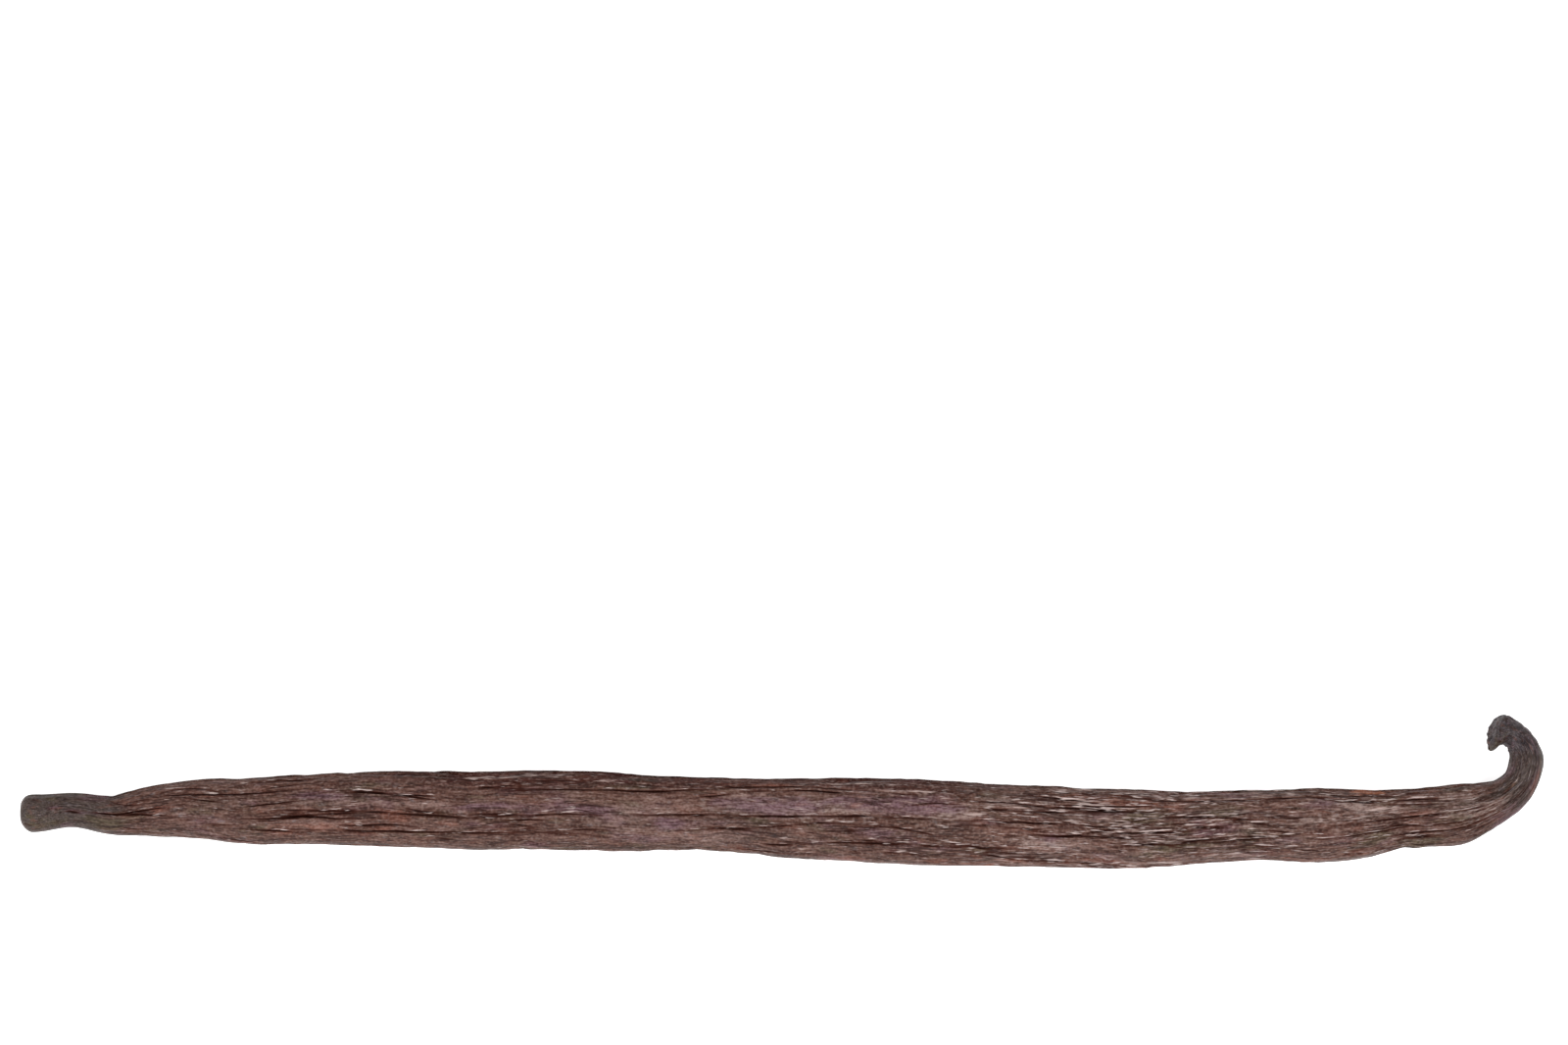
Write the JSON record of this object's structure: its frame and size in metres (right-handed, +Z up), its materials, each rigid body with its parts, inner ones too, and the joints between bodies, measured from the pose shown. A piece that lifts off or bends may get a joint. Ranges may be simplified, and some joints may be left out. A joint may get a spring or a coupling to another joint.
{
  "type": "vanilla bean",
  "caption": "Cured vanilla bean: a long, flattened, lengthwise-wrinkled pod with a blunt blossom end and a hooked stalk end, lying on its flat side.",
  "frame": {"origin": "on the surface that the pod lies on, under the middle of its bounding box", "axes": "+X along the pod from its blossom end to its hooked stalk end, +Y the side that the hook turns to, +Z up from the surface"},
  "size_m": [0.1698, 0.0172, 0.0048],
  "materials": {
    "cured_skin": "satin"
  },
  "bodies": {
    "root": {"vanilla_pod": "cured_skin"}
  },
  "joints": []
}
